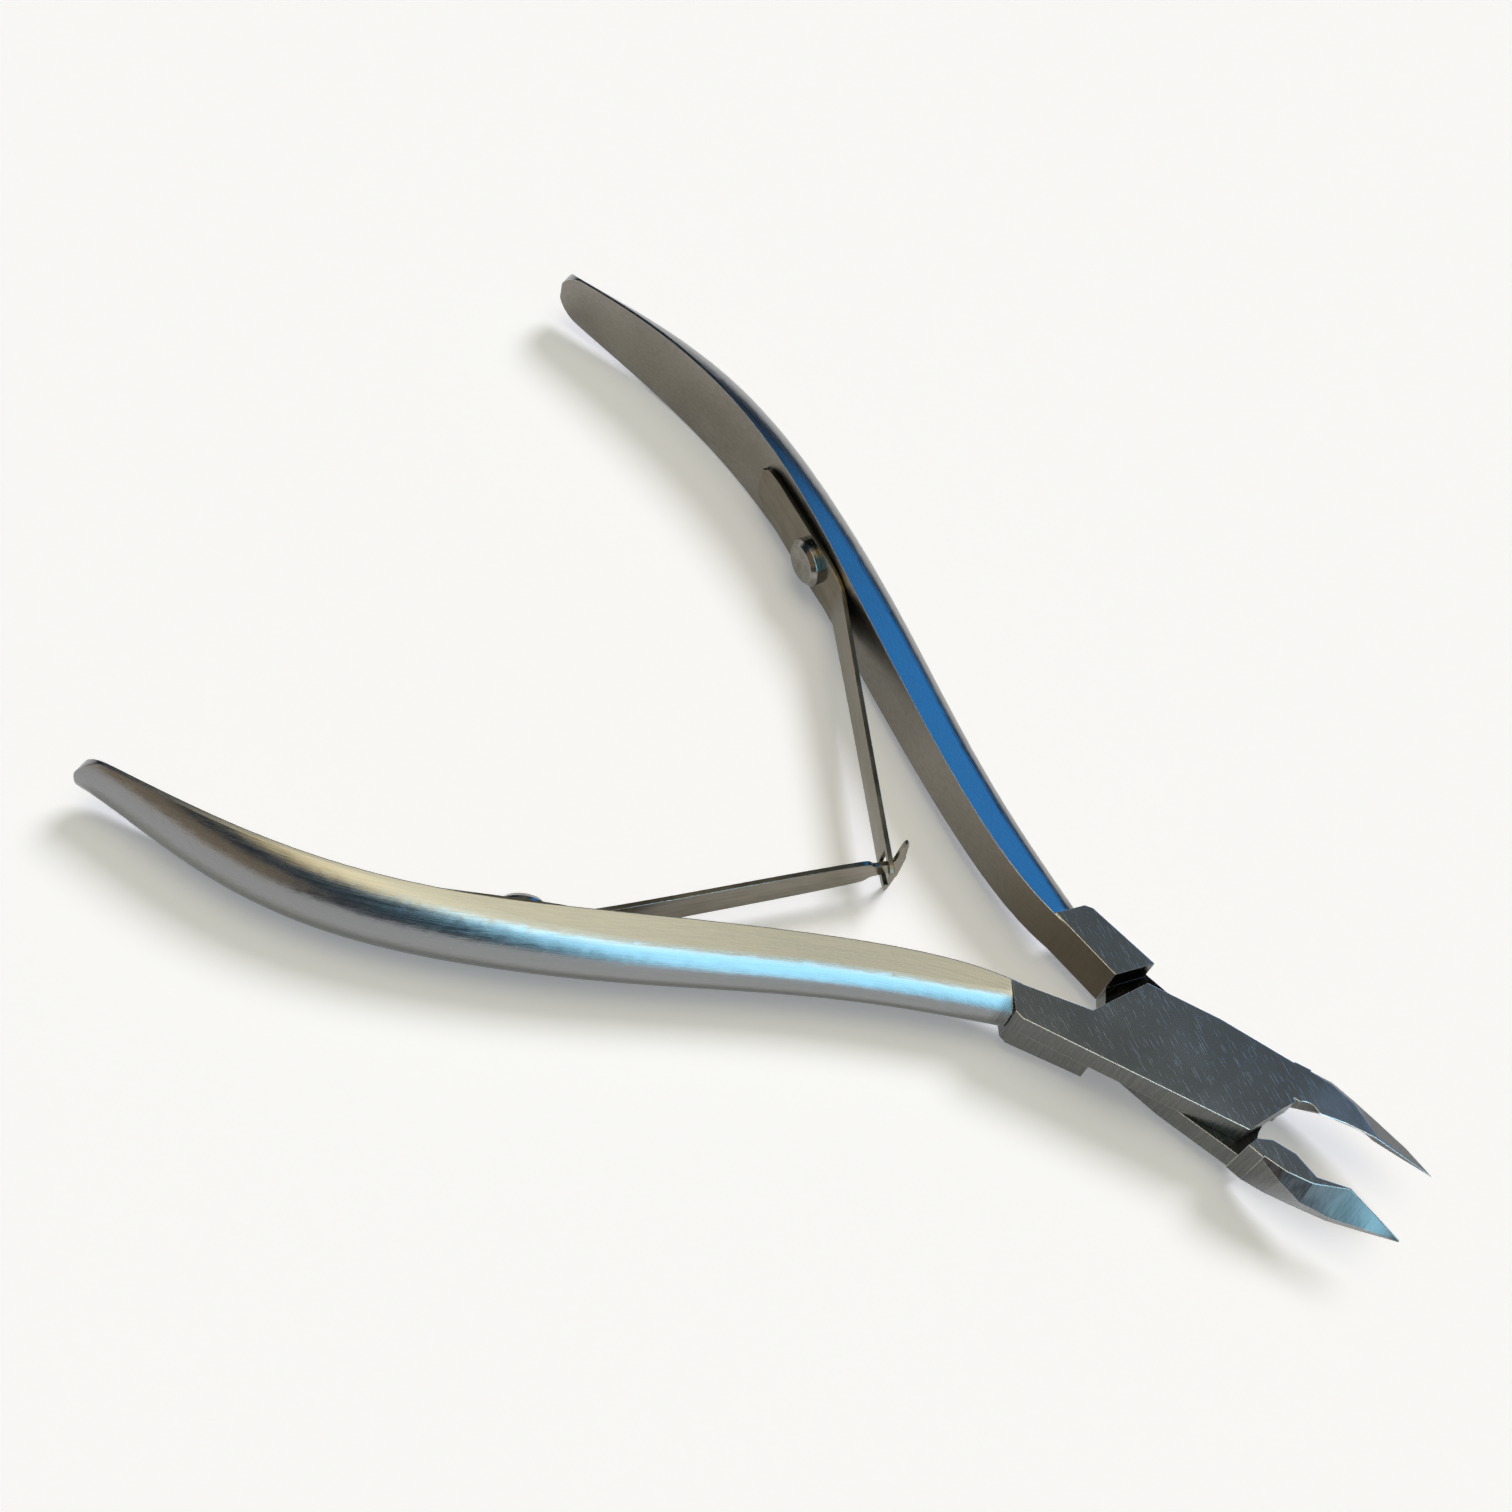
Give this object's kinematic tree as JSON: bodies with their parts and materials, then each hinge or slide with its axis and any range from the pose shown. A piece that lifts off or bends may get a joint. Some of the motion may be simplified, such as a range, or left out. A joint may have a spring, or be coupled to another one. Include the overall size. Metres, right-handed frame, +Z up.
{
  "type": "sprue nippers",
  "caption": "Small stainless-steel lap-joint nippers with slim pointed jaws, curved D-section handles and crossed leaf springs that hold them open.",
  "frame": {"origin": "on the pivot axis, at the underside of the joint", "axes": "+X along the tool's centre line to the jaws, +Y to the rear lever's handle, +Z up along the pivot axis"},
  "size_m": [0.1034, 0.0664, 0.0084],
  "materials": {
    "lever_steel": "satin grips, polished joint and ground jaws",
    "spring_steel": "bright rolled strip",
    "rivet_steel": "polished"
  },
  "bodies": {
    "front": {"front_lever": "lever_steel", "pivot_rivet": "rivet_steel", "front_spring_rivet": "rivet_steel"},
    "rear": {"rear_lever": "lever_steel", "rear_spring_rivet": "rivet_steel"},
    "front_leaf": {"front_spring": "spring_steel"},
    "rear_leaf": {"rear_spring": "spring_steel"}
  },
  "joints": [
    {"name": "pivot", "type": "hinge", "parent": "front", "child": "rear", "pos_m": [0, 0, 0], "axis": [0, 0, 1], "range_deg": [0, 15], "stiffness_Nm_per_rad": 0.3, "springref_deg": -8.59},
    {"name": "rear_leaf_bend", "type": "hinge", "parent": "rear", "child": "rear_leaf", "pos_m": [-0.0413, 0.0193, 0.0025], "axis": [0, 0, 1], "range_deg": [0, 9.1], "deforming": ["rear_spring"]},
    {"name": "front_leaf_bend", "type": "hinge", "parent": "front", "child": "front_leaf", "pos_m": [-0.0413, -0.0193, 0.0025], "axis": [0, 0, 1], "range_deg": [-9.1, 0], "deforming": ["front_spring"]}
  ],
  "couplings": [
    {"joint": "rear_leaf_bend", "follows": "pivot", "ratio": 0.602},
    {"joint": "front_leaf_bend", "follows": "pivot", "ratio": -0.602}
  ]
}
